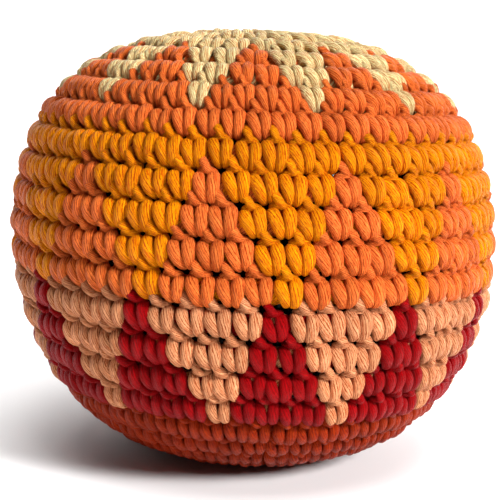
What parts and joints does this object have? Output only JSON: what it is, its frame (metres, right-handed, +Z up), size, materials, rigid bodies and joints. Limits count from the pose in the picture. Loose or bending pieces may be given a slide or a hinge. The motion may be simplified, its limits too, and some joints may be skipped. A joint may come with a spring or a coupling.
{
  "type": "juggling ball",
  "caption": "Soft juggling ball crocheted from coloured cotton yarns in zigzag bands, closed over a loose filling of plastic pellets.",
  "frame": {"origin": "middle of the small flat on the base that the ball rests on", "axes": "+Z up through the closed crown; -Y is the front seen in the picture; +X to the right"},
  "size_m": [0.062, 0.062, 0.0537],
  "materials": {
    "burnt_orange_cotton": "satin",
    "crimson_cotton": "satin",
    "peach_cotton": "satin",
    "golden_yellow_cotton": "satin",
    "coral_cotton": "satin",
    "cream_cotton": "satin",
    "pellet_plastic": "gloss"
  },
  "bodies": {
    "root": {"burnt_orange_yarn": "burnt_orange_cotton", "crimson_yarn": "crimson_cotton", "peach_yarn": "peach_cotton", "golden_yellow_yarn": "golden_yellow_cotton", "coral_yarn": "coral_cotton", "cream_yarn": "cream_cotton", "start_ring": "burnt_orange_cotton", "start_tail": "burnt_orange_cotton", "closing_ring": "cream_cotton", "closing_knot": "cream_cotton", "closing_tail": "cream_cotton", "filling_pellets": "pellet_plastic"}
  },
  "joints": []
}
